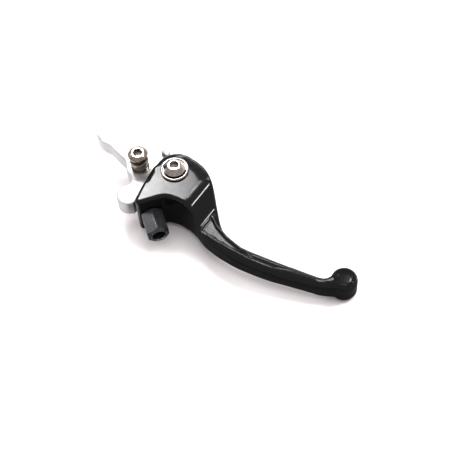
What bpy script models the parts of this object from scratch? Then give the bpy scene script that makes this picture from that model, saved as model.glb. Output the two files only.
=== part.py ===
"""Folding clutch lever for a hydraulic master cylinder, with a reach adjuster.

A silver base knuckle turns on the perch pivot and pushes the master cylinder with its rear lobe. A black
blade hangs on the knuckle by a fold bolt, so that it swings forward in a crash, and a torsion spring
brings it back. The adjuster's plunger leans on the knuckle and sets the reach.

The frame: the origin is the perch pivot's axis at mid thickness, +X runs along the blade to the ball,
+Y points forward, away from the handlebar, and +Z is up. Lengths are in metres.
"""

import math

import bmesh
import bpy
from mathutils import Matrix, Vector

MM = 0.001

# ---- driving dimensions, in millimetres ----
FOLD = (23.4, 3.6)  # fold axis, from the perch pivot's axis
ADJUSTER_FOOT = (23.1, -20.8)  # where the adjuster's axis leaves the head
ADJUSTER_ANGLE = -37.5  # of the adjuster's axis from +X, pointing out of the head

HEAD_HALF = 14.5  # half the thickness of the clevis head
SLOT_HALF = 5.8  # half the gap between the head's two ears
BASE_HALF = 5.5  # half the thickness of the base knuckle
EAR_CENTRE, EAR_RADIUS = (23.9, 4.1), 12.8  # the outside of the ears
SLOT_RADIUS = 12.4  # room for the tongue, round the fold axis
SLOT_START, SLOT_END = 30.0, 250.0  # the slot is open outwards between these angles
TONGUE_RADIUS = 10.6

EDGE_ROUND = 1.6  # rounding of the blade's head
BASE_CHAMFER = 0.45  # rounding of the base knuckle's edges

BOLT_R = 3.0  # M6
HEX_KEY = 5.0  # across flats of the bolts' sockets
PERCH_SLEEVE_R = 5.3
PERCH_BUSH_R = 6.5
FOLD_SLEEVE_R = 4.75
FOLD_BUSH_R = 6.0
BALL_R, BALL_HALF = 7.35, 7.5
BALL = (138.6, 0.0)
DIMPLE_R, DIMPLE_DEPTH = 5.1, 0.9

BARREL_FLATS = 12.0  # across flats
BARREL_END = 15.6  # along the adjuster's axis from its foot
SPIGOT_R = 4.6
SPIGOT_DEPTH = 4.9
PLUNGER_R = 3.0
PLUNGER_TIP = -10.2
PAD_FACE = -10.5
STOP_FACE = -11.2

SPRING_WIRE_R = 0.75
SPRING_R = 6.9
SPRING_TOP = -1.35  # the wire's centre at the coil's upper end
SPRING_TURNS = 2

RING_STEPS = 32


# ---- scene and helpers ----
def clear_scene():
    for obj in list(bpy.data.objects):
        bpy.data.objects.remove(obj, do_unlink=True)


def new_collection(name):
    found = bpy.data.collections.new(name)
    bpy.context.scene.collection.children.link(found)
    return found


def new_material(name, colour, roughness, metallic):
    made = bpy.data.materials.new(name)
    made.use_nodes = True
    shader = made.node_tree.nodes["Principled BSDF"]
    shader.inputs["Base Color"].default_value = (*colour, 1.0)
    shader.inputs["Roughness"].default_value = roughness
    shader.inputs["Metallic"].default_value = metallic
    made.diffuse_color = (*colour, 1.0)
    return made


clear_scene()
PARTS = new_collection("clutch_lever")
CUTTERS = new_collection("cutters")

ALUMINIUM = new_material("satin_aluminium", (0.86, 0.87, 0.88), 0.35, 0.9)
BLACK_PAINT = new_material("black_gloss_paint", (0.012, 0.012, 0.013), 0.18, 0.0)
BLACK_STEEL = new_material("blackened_steel", (0.05, 0.052, 0.055), 0.35, 0.8)
STEEL = new_material("bright_steel", (0.72, 0.71, 0.69), 0.25, 1.0)
NICKEL = new_material("nickel_steel", (0.55, 0.50, 0.46), 0.25, 1.0)
BRONZE = new_material("bearing_bronze", (0.50, 0.34, 0.16), 0.4, 1.0)
RUBBER = new_material("black_rubber", (0.03, 0.02, 0.02), 0.7, 0.0)
NYLON = new_material("nylon", (0.12, 0.22, 0.5), 0.5, 0.0)


def new_axis(name, location, turned_by=None):
    """An empty on a joint's axis, which carries the pieces that turn or slide there."""
    empty = bpy.data.objects.new(name, None)
    empty.empty_display_size = 0.01
    PARTS.objects.link(empty)
    empty.matrix_world = Matrix.Translation(Vector(location) * MM) @ (turned_by or Matrix.Identity(4))
    return empty


def add(name, mesh, material, axis, collection=None):
    obj = bpy.data.objects.new(name, mesh)
    (collection or PARTS).objects.link(obj)
    if material:
        mesh.materials.clear()
        mesh.materials.append(material)
    obj.parent = axis
    return obj


def hide(cutter):
    cutter.hide_render = True
    cutter.display_type = "WIRE"
    return cutter


def shade(mesh, angle=35.0):
    mesh.shade_smooth()
    mesh.set_sharp_from_angle(angle=math.radians(angle))


def turned_mesh(name, profile, closed=False, steps=RING_STEPS):
    """A profile of (radius, height) pairs in mm, from top to bottom on its outer side, turned round Z."""
    mesh = bpy.data.meshes.new(name)
    points = [(r * MM, 0.0, z * MM) for r, z in profile]
    count = len(points)
    edges = [(i, (i + 1) % count) for i in range(count if closed else count - 1)]
    mesh.from_pydata(points, edges, [])
    source = bpy.data.objects.new(name + "_profile", mesh)
    CUTTERS.objects.link(source)
    screw = source.modifiers.new("turn", "SCREW")
    screw.steps = screw.render_steps = steps
    screw.use_merge_vertices = True
    screw.merge_threshold = 0.00001
    return evaluated_mesh(source, name)


def evaluated_mesh(source, name):
    """The mesh of an object with its modifiers or its curve applied. The source object is removed."""
    bpy.context.view_layer.update()
    graph = bpy.context.evaluated_depsgraph_get()
    mesh = bpy.data.meshes.new_from_object(source.evaluated_get(graph))
    mesh.name = name
    bpy.data.objects.remove(source, do_unlink=True)
    body = bmesh.new()
    body.from_mesh(mesh)
    bmesh.ops.remove_doubles(body, verts=body.verts, dist=0.000002)
    bmesh.ops.recalc_face_normals(body, faces=body.faces)
    body.to_mesh(mesh)
    body.free()
    shade(mesh)
    return mesh


def turned(name, profile, material, axis, closed=False, steps=RING_STEPS):
    return add(name, turned_mesh(name, profile, closed, steps), material, axis)


def ring_profile(inner, outer, low, high, chamfer=0.0):
    """A plain ring's section, with a chamfer on its outer edges."""
    if not chamfer:
        return [(outer, high), (outer, low), (inner, low), (inner, high)]
    return [
        (outer - chamfer, high),
        (outer, high - chamfer),
        (outer, low + chamfer),
        (outer - chamfer, low),
        (inner, low),
        (inner, high),
    ]


def turned_cutter(name, profile, axis, steps=RING_STEPS):
    return hide(add(name, turned_mesh(name, profile, steps=steps), None, axis, CUTTERS))


def cylinder_cutter(name, radius, low, high, axis, steps=RING_STEPS, at=(0.0, 0.0)):
    profile = [(0.0, high), (radius, high), (radius, low), (0.0, low)]
    cutter = turned_cutter(name, profile, axis, steps)
    cutter.location = (at[0] * MM, at[1] * MM, 0.0)
    return cutter


def hex_mesh(name, flats, low, high, turn=0.0):
    """A hexagonal prism along Z, with a corner on +Y before it is turned."""
    body = bmesh.new()
    bmesh.ops.create_cone(
        body,
        cap_ends=True,
        segments=6,
        radius1=flats / math.sqrt(3) * MM,
        radius2=flats / math.sqrt(3) * MM,
        depth=(high - low) * MM,
    )
    lift = Matrix.Translation((0.0, 0.0, (high + low) / 2 * MM))
    body.transform(lift @ Matrix.Rotation(math.radians(turn), 4, "Z"))
    mesh = bpy.data.meshes.new(name)
    body.to_mesh(mesh)
    body.free()
    return mesh


def outline_mesh(name, outline, low, high, rounding=0.0, round_steps=1):
    """A flat closed outline in mm, filled and extruded, with its upper and lower edges rounded."""
    curve = bpy.data.curves.new(name, "CURVE")
    curve.dimensions = "2D"
    curve.fill_mode = "BOTH"
    curve.extrude = (high - low) / 2 * MM
    spline = curve.splines.new("POLY")
    spline.points.add(len(outline) - 1)
    for point, (x, y) in zip(spline.points, outline):
        point.co = (x * MM, y * MM, 0.0, 1.0)
    spline.use_cyclic_u = True
    source = bpy.data.objects.new(name + "_outline", curve)
    CUTTERS.objects.link(source)
    mesh = evaluated_mesh(source, name)
    mesh.transform(Matrix.Translation((0.0, 0.0, (high + low) / 2 * MM)))
    if rounding:
        round_rims(mesh, rounding, round_steps)
    return mesh


def round_rims(mesh, rounding, round_steps):
    """Bevels the edges between an extrusion's flat ends and its sides."""
    body = bmesh.new()
    body.from_mesh(mesh)
    for side in (1.0, -1.0):
        flat = [face for face in body.faces if face.normal.z * side > 0.99]
        bmesh.ops.dissolve_faces(body, faces=flat)
    rims = [
        edge
        for edge in body.edges
        if sum(abs(face.normal.z) > 0.99 for face in edge.link_faces) == 1
    ]
    bmesh.ops.bevel(
        body,
        geom=rims,
        offset=rounding * MM,
        offset_type="OFFSET",
        segments=round_steps,
        profile=0.5,
        affect="EDGES",
        clamp_overlap=False,
    )
    bmesh.ops.triangulate(body, faces=[face for face in body.faces if len(face.verts) > 4])
    body.to_mesh(mesh)
    body.free()
    shade(mesh)


def boolean(obj, other, operation="DIFFERENCE"):
    modifier = obj.modifiers.new(operation.lower() + "_" + other.name, "BOOLEAN")
    modifier.operation = operation
    modifier.object = other
    modifier.solver = "EXACT"


def arc(centre, radius, start, end, steps):
    """Points along an arc, with its angles in degrees."""
    points = []
    for i in range(steps + 1):
        angle = math.radians(start + (end - start) * i / steps)
        points.append((centre[0] + radius * math.cos(angle), centre[1] + radius * math.sin(angle)))
    return points


def smooth(points, steps=4):
    """A smooth curve through all of the points (Catmull-Rom)."""
    ends = [points[0], *points, points[-1]]
    found = []
    for i in range(1, len(ends) - 2):
        before, start, end, after = ends[i - 1 : i + 3]
        for k in range(steps):
            t = k / steps
            found.append(
                tuple(
                    0.5
                    * (
                        2 * b
                        + (c - a) * t
                        + (2 * a - 5 * b + 4 * c - d) * t * t
                        + (3 * b - a - 3 * c + d) * t**3
                    )
                    for a, b, c, d in zip(before, start, end, after)
                )
            )
    found.append(points[-1])
    return found


def read_at(table, x):
    """A smooth value at x from a list of (x, value) pairs."""
    if x <= table[0][0]:
        return table[0][1]
    for (x0, v0), (x1, v1) in zip(table, table[1:]):
        if x <= x1:
            t = (x - x0) / (x1 - x0)
            return v0 + (v1 - v0) * t
    return table[-1][1]


# ---- the joint axes ----
out_of_head = Matrix.Rotation(math.radians(ADJUSTER_ANGLE), 4, "Z") @ Matrix.Rotation(math.pi / 2, 4, "Y")
perch_axis = new_axis("perch_axis", (0.0, 0.0, 0.0))
fold_axis = new_axis("fold_axis", (*FOLD, 0.0))
adjuster_axis = new_axis("adjuster_axis", (*ADJUSTER_FOOT, 0.0), out_of_head)
bpy.context.view_layer.update()


def along_adjuster(distance, across=0.0):
    """The (x, y) of a point on the adjuster's axis, distance mm out from its foot, across mm to its left."""
    angle = math.radians(ADJUSTER_ANGLE)
    x = ADJUSTER_FOOT[0] + distance * math.cos(angle) - across * math.sin(angle)
    y = ADJUSTER_FOOT[1] + distance * math.sin(angle) + across * math.cos(angle)
    return (x, y)


# ---- the base knuckle ----
def base_outline():
    """Counterclockwise from the tail's tip: tail, perch boss, pusher lobe, stop face, tongue, far edge."""
    near_tail = smooth([(-36.0, 4.3), (-32.8, 2.4), (-27.6, 1.4), (-23.6, 1.7), (-16.8, 0.0), (-9.6, -1.8)], 3)
    perch_boss = arc((0.0, 0.0), 8.3, 205.0, 262.0, 5)
    notch = [(1.3, -9.6), (2.3, -11.6)]
    lobe = arc((6.3, -19.8), 6.8, 132.0, 310.0, 16)
    stop = [(12.6, -23.4), (12.4, -20.4), along_adjuster(STOP_FACE, -4.6), along_adjuster(STOP_FACE, 5.0)]
    tongue = arc(FOLD, TONGUE_RADIUS, -117.0, 122.0, 24)
    shoulder = [(14.3, 12.6), (12.9, 15.0), (11.2, 16.2)]
    far_edge = smooth([(7.0, 16.3), (1.3, 16.1), (-4.0, 14.5), (-10.8, 12.4), (-22.6, 8.3), (-35.6, 5.1)], 3)
    return near_tail + perch_boss + notch + lobe + stop + tongue + shoulder + far_edge


def build_base():
    mesh = outline_mesh("base_knuckle", base_outline(), -BASE_HALF, BASE_HALF, BASE_CHAMFER)
    base = add("base_knuckle", mesh, ALUMINIUM, None)
    lug_outline = [(6.9, 12.6), (10.5, 12.6), (10.5, 15.7), (6.9, 15.7)]
    lug = add("lug_union", outline_mesh("lug", lug_outline, 4.0, 9.4, 0.3), None, None, CUTTERS)
    boolean(base, hide(lug), "UNION")
    # The washer's seat, the bush's bore and the spring's pocket are one stepped cut.
    fold_bore = [
        (0.0, 7.0),
        (9.3, 7.0),
        (9.3, 4.6),
        (FOLD_BUSH_R + 0.1, 4.6),
        (FOLD_BUSH_R + 0.1, -0.4),
        (9.0, -0.4),
        (9.0, -7.0),
        (0.0, -7.0),
    ]
    boolean(base, turned_cutter("cut_fold_bore", fold_bore, fold_axis))
    cuts = (
        ("cut_perch_bore", PERCH_BUSH_R + 0.1, -7.0, 7.0, perch_axis, (0.0, 0.0)),
        ("cut_spring_leg", 1.1, -1.0, 3.2, fold_axis, (-SPRING_R, 0.0)),
        ("cut_pad_seat", 3.6, -14.0, -8.0, adjuster_axis, (0.0, 0.0)),
    )
    for name, radius, low, high, axis, at in cuts:
        boolean(base, cylinder_cutter(name, radius, low, high, axis, at=at))
    return base


def build_base_fittings():
    turned(
        "perch_bush",
        ring_profile(PERCH_SLEEVE_R + 0.1, PERCH_BUSH_R, -5.4, 5.4, 0.3),
        STEEL,
        perch_axis,
        closed=True,
    )
    turned(
        "fold_bush",
        ring_profile(FOLD_SLEEVE_R + 0.1, FOLD_BUSH_R, -4.3, 4.3, 0.3),
        BRONZE,
        fold_axis,
        closed=True,
    )
    turned(
        "thrust_washer_upper",
        ring_profile(FOLD_SLEEVE_R + 0.15, 9.0, 4.85, 5.6),
        BRONZE,
        fold_axis,
        closed=True,
    )
    turned(
        "thrust_washer_lower",
        ring_profile(FOLD_SLEEVE_R + 0.15, FOLD_BUSH_R - 0.1, -5.5, -4.6),
        BRONZE,
        fold_axis,
        closed=True,
    )
    turned(
        "stop_pad",
        [(0.0, PAD_FACE), (3.0, PAD_FACE), (3.45, PAD_FACE - 0.45), (3.45, -13.7), (0.0, -13.7)],
        STEEL,
        adjuster_axis,
    )


def spring_points():
    """A torsion spring's centreline: a leg up into the base, the coil, and a leg down into the lower ear."""
    steps = 16
    pitch = 2 * SPRING_WIRE_R + 0.2
    points = [(-SPRING_R, 0.0, 2.6), (-SPRING_R, 0.0, SPRING_TOP + 1.2)]
    for i in range(SPRING_TURNS * steps + 1):
        angle = math.pi + 2 * math.pi * i / steps
        height = SPRING_TOP - pitch * i / steps
        points.append((SPRING_R * math.cos(angle), SPRING_R * math.sin(angle), height))
    low = points[-1][2]
    points += [(-SPRING_R, 0.0, low - 1.2), (-SPRING_R, 0.0, low - 3.4)]
    return points


def build_spring():
    curve = bpy.data.curves.new("fold_spring", "CURVE")
    curve.dimensions = "3D"
    curve.bevel_depth = SPRING_WIRE_R * MM
    curve.bevel_resolution = 1
    curve.use_fill_caps = True
    points = spring_points()
    spline = curve.splines.new("POLY")
    spline.points.add(len(points) - 1)
    for point, place in zip(spline.points, points):
        point.co = (*(value * MM for value in place), 1.0)
    source = bpy.data.objects.new("fold_spring_wire", curve)
    CUTTERS.objects.link(source)
    add("fold_spring", evaluated_mesh(source, "fold_spring"), STEEL, fold_axis)


# ---- the blade ----
# The blade's plan, from the head to the ball: (x, y) of its forward and of its rider's side.
FORWARD_SIDE = [
    (38.0, 14.3), (42.0, 12.0), (45.6, 9.2), (48.8, 6.2), (52.3, 2.5), (57.0, -2.4), (61.5, -6.9),
    (65.8, -10.3), (71.0, -12.4), (78.0, -12.9), (86.0, -11.9), (98.0, -10.0), (110.0, -8.3),
    (122.0, -6.3), (127.5, -5.2), (129.6, -4.2), (131.2, -1.8), (132.6, 1.2), (138.0, 1.2),
]  # fmt: skip
RIDER_SIDE = [
    (38.0, -11.9), (42.0, -12.3), (46.0, -13.5), (50.4, -15.6), (54.5, -18.1), (60.0, -20.2),
    (66.0, -21.4), (72.0, -22.1), (79.0, -22.4), (86.0, -22.0), (98.0, -20.3), (110.0, -17.7),
    (122.0, -14.3), (130.0, -12.2), (134.0, -10.8), (138.5, -8.0),
]  # fmt: skip
# Half the thickness along the blade: the head slopes down to the blade between 45.5 and 54.5.
HALF_THICKNESS = [(45.5, HEAD_HALF), (54.6, 6.4), (85.0, 6.2), (110.0, 5.8), (126.0, 5.8), (134.0, 6.9)]
CORNER_ROUND = [(54.6, EDGE_ROUND), (64.0, 2.4), (74.0, 3.4), (86.0, 4.3), (126.0, 4.0), (138.0, 3.6)]
STATIONS = [39, 41, 43.5, 45.5, 48.5, 51.5, 54.6, 57, 59.5, 62, 65, 68, 72, 77, 83, 90, 98, 106, 114, 121,
            126, 128.5, 130.2, 131.6, 132.8, 138]  # fmt: skip
JOIN_STEP = 0.06  # where it overlaps the head, the loft stands this far outside it
HEAD_END = 42.0


def head_outline():
    """Counterclockwise from the corner beside the adjuster."""
    corner = arc((17.9, -23.3), 2.5, 190.0, 322.0, 6)
    boss = [along_adjuster(0.0, -3.6), along_adjuster(0.0, 6.1)]
    finger_side = smooth([(29.0, -13.9), (32.0, -12.8), (35.0, -12.2), (38.0, -11.9), (HEAD_END, -12.3)], 2)
    forward_side = smooth([(HEAD_END, 12.0), (38.0, 14.3), (33.8, 15.8), (28.8, 16.6)], 2)
    ear = arc(EAR_CENTRE, EAR_RADIUS, 80.0, 186.0, 12)
    back = smooth([(11.5, -5.0), (12.6, -11.0), (14.1, -18.0)], 2)
    return corner + boss + finger_side + forward_side + ear + back


def section(x):
    """A rounded rectangle across the blade at x, as (y, z) pairs."""
    high, low = read_at(FORWARD_CURVE, x), read_at(RIDER_CURVE, x)
    half = read_at(HALF_THICKNESS, x)
    step = JOIN_STEP if x < HEAD_END + 1.0 else 0.0
    high, low, half = high + step, low - step, half + step
    rounding = min(read_at(CORNER_ROUND, x), 0.48 * (high - low), 0.9 * half)
    near, far, flat = low + rounding, high - rounding, half - rounding
    points = []
    corners = ((far, flat), (near, flat), (near, -flat), (far, -flat))
    for i, centre in enumerate(corners):
        points += arc(centre, rounding, 90.0 * i, 90.0 * (i + 1), 3)
    return points


FORWARD_CURVE = smooth(FORWARD_SIDE, 4)
RIDER_CURVE = smooth(RIDER_SIDE, 4)


def loft_mesh():
    """A tube of sections across X, closed at both ends."""
    body = bmesh.new()
    rings = []
    for x in STATIONS:
        rings.append([body.verts.new((x * MM, y * MM, z * MM)) for y, z in section(x)])
    for ring, following in zip(rings, rings[1:]):
        for i, vert in enumerate(ring):
            j = (i + 1) % len(ring)
            body.faces.new((vert, ring[j], following[j], following[i]))
    body.faces.new(rings[0])
    body.faces.new(rings[-1])
    bmesh.ops.recalc_face_normals(body, faces=body.faces)
    bmesh.ops.triangulate(body, faces=body.faces)
    mesh = bpy.data.meshes.new("blade_loft")
    body.to_mesh(mesh)
    body.free()
    return mesh


def ball_mesh():
    """A flattened ball with a shallow round dimple in its top."""
    edge = 3.0
    rim = BALL_HALF - 0.1
    floor = BALL_HALF - DIMPLE_DEPTH
    profile = [(0.0, floor), (DIMPLE_R - 1.4, floor), (DIMPLE_R - 0.7, rim - 0.4), (DIMPLE_R - 0.2, rim)]
    side = BALL_R - edge
    for i in range(1, 7):
        angle = math.radians(90 - 15 * i)
        r = side + edge * math.cos(angle)
        if r > DIMPLE_R + 0.2:
            profile.append((r, BALL_HALF - edge + edge * math.sin(angle)))
    for i in range(0, 7):
        angle = math.radians(-15 * i)
        profile.append((side + edge * math.cos(angle), -BALL_HALF + edge + edge * math.sin(angle)))
    profile.append((0.0, -BALL_HALF))
    return turned_mesh("ball", profile, steps=24)


def slot_outline():
    """Round the tongue, and open outwards over the angles that the base sweeps as the blade folds."""
    reach = 45.0
    open_side = arc(FOLD, reach, SLOT_START, SLOT_END, 12)
    room = arc(FOLD, SLOT_RADIUS, SLOT_END, SLOT_START + 360.0, 18)
    return open_side + room


def build_blade():
    head = outline_mesh("blade", head_outline(), -HEAD_HALF, HEAD_HALF, EDGE_ROUND, 2)
    blade = add("blade", head, BLACK_PAINT, None)
    loft = hide(add("blade_loft_union", loft_mesh(), None, None, CUTTERS))
    boolean(blade, loft, "UNION")
    ball = hide(add("ball_union", ball_mesh(), None, None, CUTTERS))
    ball.location = (BALL[0] * MM, BALL[1] * MM, 0.0)
    boolean(blade, ball, "UNION")
    slot = outline_mesh("slot", slot_outline(), -SLOT_HALF, SLOT_HALF)
    boolean(blade, hide(add("cut_slot", slot, None, None, CUTTERS)))
    nut_pocket = [(0.0, 20.0), (3.25, 20.0), (3.25, -10.2), (6.6, -10.2), (6.6, -20.0), (0.0, -20.0)]
    boolean(blade, turned_cutter("cut_bolt_bore", nut_pocket, fold_axis))
    # The spigot turns in this bore, and its snap ring expands into the bore's groove.
    spigot_bore = [
        (0.0, 4.0),
        (4.9, 4.0),
        (4.9, -3.1),
        (5.6, -3.1),
        (5.6, -4.3),
        (4.9, -4.3),
        (4.9, -5.2),
        (3.4, -5.2),
        (3.4, -12.0),
        (0.0, -12.0),
    ]
    boolean(blade, turned_cutter("cut_spigot_bore", spigot_bore, adjuster_axis))
    boolean(blade, cylinder_cutter("cut_leg_hole", 1.2, -8.9, -5.0, fold_axis, 16, (-SPRING_R, 0.0)))
    return blade


# ---- bolts and nuts ----
def build_bolt(name, material, axis, head_profile, thread_end, socket_depth):
    """A turned bolt with a hexagon socket. head_profile runs from the rim down to the shank."""
    top = head_profile[0][1]
    point = [(BOLT_R, thread_end + 0.6), (BOLT_R - 0.6, thread_end), (0.0, thread_end)]
    bolt = turned(name, [(0.0, top), *head_profile, *point], material, axis)
    socket = hex_mesh(name + "_socket", HEX_KEY, top - socket_depth, top + 1.0, 15.0)
    boolean(bolt, hide(add(name + "_socket", socket, None, axis, CUTTERS)))
    return bolt


def build_nut(name, material, axis, flats, low, high, bore):
    """A hexagon nut with its corners turned off at both faces."""
    nut = add(name, hex_mesh(name, flats, low, high), material, axis)
    corner = flats / math.sqrt(3)
    profile = [
        (0.0, high + 0.1),
        (flats / 2, high + 0.1),
        (corner + 0.1, high - 0.4),
        (corner + 0.1, low + 0.4),
        (flats / 2, low - 0.1),
        (0.0, low - 0.1),
    ]
    boolean(nut, turned_cutter(name + "_corners", profile, axis), "INTERSECT")
    boolean(nut, cylinder_cutter(name + "_bore", bore, low - 1.0, high + 1.0, axis))
    return nut


def build_perch_hardware():
    head = [(3.5, 18.4), (4.2, 18.1), (5.7, 16.8), (5.7, 15.7), (5.3, 15.2), (BOLT_R, 15.2)]
    build_bolt("perch_bolt", NICKEL, perch_axis, head, -19.6, 3.6)
    turned("perch_dust_ring", ring_profile(3.2, 5.0, 12.2, 14.9, 0.4), RUBBER, perch_axis, closed=True)
    sleeve = ring_profile(3.2, PERCH_SLEEVE_R, -11.2, 11.9, 0.4)
    turned("perch_sleeve", sleeve, NICKEL, perch_axis, closed=True)
    turned("perch_washer", ring_profile(3.2, 6.2, -12.6, -11.5, 0.2), STEEL, perch_axis, closed=True)
    nut = build_nut("perch_lock_nut", STEEL, perch_axis, 10.0, -18.6, -12.9, 3.2)
    boolean(nut, cylinder_cutter("cut_perch_insert", 4.3, -19.0, -17.0, perch_axis))
    turned("perch_nut_insert", ring_profile(3.2, 4.1, -18.5, -17.3), NYLON, perch_axis, closed=True)


def build_fold_hardware():
    head = [(3.3, 19.9), (4.0, 19.6), (6.2, 16.9), (6.2, 16.2), (BOLT_R, 16.2)]
    build_bolt("fold_bolt", STEEL, fold_axis, head, -14.2, 3.4)
    turned(
        "fold_bolt_washer",
        [(6.6, 16.0), (7.6, 16.0), (8.0, 15.6), (8.0, 14.8), (3.3, 14.8), (3.3, 15.9), (6.4, 15.9)],
        STEEL,
        fold_axis,
        closed=True,
    )
    turned("fold_sleeve", ring_profile(3.2, FOLD_SLEEVE_R, -5.5, 5.5, 0.3), STEEL, fold_axis, closed=True)
    nut = build_nut("fold_lock_nut", STEEL, fold_axis, 10.0, -14.2, -10.5, 3.2)
    boolean(nut, cylinder_cutter("cut_fold_insert", 4.3, -15.0, -13.1, fold_axis))
    turned("fold_nut_insert", ring_profile(3.2, 4.1, -14.1, -13.4), NYLON, fold_axis, closed=True)


# ---- the reach adjuster ----
def build_adjuster():
    # The hexagon's corners point up and down, which is along the axis empty's X.
    hexagon = hex_mesh("adjuster_barrel", BARREL_FLATS, 0.3, BARREL_END, 30.0)
    barrel = add("adjuster_barrel", hexagon, BLACK_STEEL, adjuster_axis)
    corner = BARREL_FLATS / math.sqrt(3)
    profile = [
        (0.0, BARREL_END + 0.1),
        (5.2, BARREL_END + 0.1),
        (corner + 0.1, BARREL_END - 1.7),
        (corner + 0.1, 1.0),
        (BARREL_FLATS / 2 - 0.1, 0.2),
        (0.0, 0.2),
    ]
    boolean(barrel, turned_cutter("barrel_corners", profile, adjuster_axis), "INTERSECT")
    spigot_profile = [
        (0.0, 1.0),
        (SPIGOT_R, 1.0),
        (SPIGOT_R, -1.1),
        (3.9, -1.1),
        (3.9, -2.5),
        (SPIGOT_R, -2.5),
        (SPIGOT_R, -3.2),
        (4.0, -3.2),
        (4.0, -4.2),
        (SPIGOT_R, -4.2),
        (SPIGOT_R, -SPIGOT_DEPTH),
        (0.0, -SPIGOT_DEPTH),
    ]
    boolean(barrel, turned_cutter("barrel_spigot", spigot_profile, adjuster_axis), "UNION")
    bore_profile = [
        (0.0, BARREL_END + 0.5),
        (4.7, BARREL_END + 0.5),
        (3.75, BARREL_END - 0.6),
        (3.75, 9.6),
        (PLUNGER_R + 0.2, 9.0),
        (PLUNGER_R + 0.2, -6.0),
        (0.0, -6.0),
    ]
    boolean(barrel, turned_cutter("barrel_bore", bore_profile, adjuster_axis))

    dome = arc((0.0, 0.0), PLUNGER_R - 0.6, 0.0, -90.0, 4)
    tip = [(x, PLUNGER_TIP + 1.1 + 1.1 * y / (PLUNGER_R - 0.6)) for x, y in dome]
    shank = [(0.0, 5.6), (PLUNGER_R - 0.6, 5.6), (PLUNGER_R, 5.0), (PLUNGER_R, PLUNGER_TIP + 2.0)]
    turned("adjuster_plunger", [*shank, *tip[:-1], (0.0, PLUNGER_TIP)], STEEL, adjuster_axis)

    cord = arc((4.38, -1.8), 0.42, 90.0, -270.0, 10)[:-1]
    turned("adjuster_o_ring", cord, RUBBER, adjuster_axis, closed=True, steps=32)
    snap = turned_mesh("adjuster_snap_ring", ring_profile(4.15, 5.45, -4.05, -3.35), closed=True)
    snap_ring = add("adjuster_snap_ring", snap, STEEL, adjuster_axis)
    gap = outline_mesh("snap_gap", [(3.0, -0.9), (7.0, -0.9), (7.0, 0.9), (3.0, 0.9)], -6.0, -2.0)
    boolean(snap_ring, hide(add("cut_snap_gap", gap, None, adjuster_axis, CUTTERS)))


build_base()
build_base_fittings()
build_spring()
build_blade()
build_perch_hardware()
build_fold_hardware()
build_adjuster()
bpy.context.view_layer.update()
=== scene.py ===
"""The folding clutch lever's looks: a fine mesh and a procedural material for each of the frame's pieces.

Lengths in the shape functions are in millimetres, in the frame's axes: the origin is on the perch pivot,
+X runs along the blade to the ball, +Y points forward and +Z is up. Meshes are scaled to metres at the end.
"""

import math

import bmesh
import bpy
from mathutils import Matrix, Vector


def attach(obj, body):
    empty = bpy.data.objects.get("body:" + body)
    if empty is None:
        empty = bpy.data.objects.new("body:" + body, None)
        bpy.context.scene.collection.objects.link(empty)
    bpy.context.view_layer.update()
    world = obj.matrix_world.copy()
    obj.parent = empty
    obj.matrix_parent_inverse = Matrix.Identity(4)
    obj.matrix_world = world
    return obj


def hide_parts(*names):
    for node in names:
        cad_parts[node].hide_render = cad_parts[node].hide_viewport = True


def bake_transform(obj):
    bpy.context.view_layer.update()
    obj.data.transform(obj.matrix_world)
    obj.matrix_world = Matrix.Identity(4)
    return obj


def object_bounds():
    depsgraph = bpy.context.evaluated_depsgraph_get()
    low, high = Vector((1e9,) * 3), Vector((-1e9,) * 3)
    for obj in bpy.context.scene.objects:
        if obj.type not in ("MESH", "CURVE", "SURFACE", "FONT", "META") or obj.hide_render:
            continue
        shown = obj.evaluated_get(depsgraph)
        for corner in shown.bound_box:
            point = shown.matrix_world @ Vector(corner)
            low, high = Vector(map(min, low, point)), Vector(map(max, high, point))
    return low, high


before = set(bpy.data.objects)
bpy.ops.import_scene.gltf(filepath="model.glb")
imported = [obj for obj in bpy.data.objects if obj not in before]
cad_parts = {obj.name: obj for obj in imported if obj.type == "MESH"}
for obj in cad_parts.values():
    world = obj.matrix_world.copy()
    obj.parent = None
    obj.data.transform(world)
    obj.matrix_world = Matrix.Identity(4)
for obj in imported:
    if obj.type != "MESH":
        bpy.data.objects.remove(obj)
CAD_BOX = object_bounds()
MM = 0.001

# ---- the frame's main dimensions ----
FOLD = (23.4, 3.6)
ADJUSTER_FOOT = (23.1, -20.8)
ADJUSTER_ANGLE = -37.5
BALL = (138.6, 0.0)
HEAD_HALF = 14.5
SLOT_HALF = 5.8
BASE_HALF = 5.5
TONGUE_RADIUS = 10.6
SLOT_RADIUS = 12.4  # room for the tongue, round the fold axis
STOP_FACE = -11.2  # along the adjuster's axis from its foot
BOLT_R = 3.0
HEX_KEY = 5.0  # across flats of the bolts' sockets
BARREL_FLATS = 12.0  # across flats of the adjuster
BARREL_END = 15.6  # along the adjuster's axis from its foot
SPRING_R = 6.9  # the coil's mean radius, on which its legs stand
FLOOR_GAP = 0.6  # from the lowest point of the object to the floor
FLOOR_SLOPE = 0.085  # the lever lies on its pivot nut and its ball, so the floor rises along +X

OUT_OF_HEAD = Matrix.Rotation(math.radians(ADJUSTER_ANGLE), 4, "Z") @ Matrix.Rotation(math.pi / 2, 4, "Y")
PERCH_AXIS = Matrix.Identity(4)
FOLD_AXIS = Matrix.Translation((FOLD[0] * MM, FOLD[1] * MM, 0.0))
ADJUSTER_AXIS = Matrix.Translation((ADJUSTER_FOOT[0] * MM, ADJUSTER_FOOT[1] * MM, 0.0)) @ OUT_OF_HEAD
LEG_PLACE = FOLD_AXIS @ Matrix.Translation((-SPRING_R * MM, 0.0, 0.0))
BALL_PLACE = Matrix.Translation((BALL[0] * MM, BALL[1] * MM, 0.0))


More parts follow.
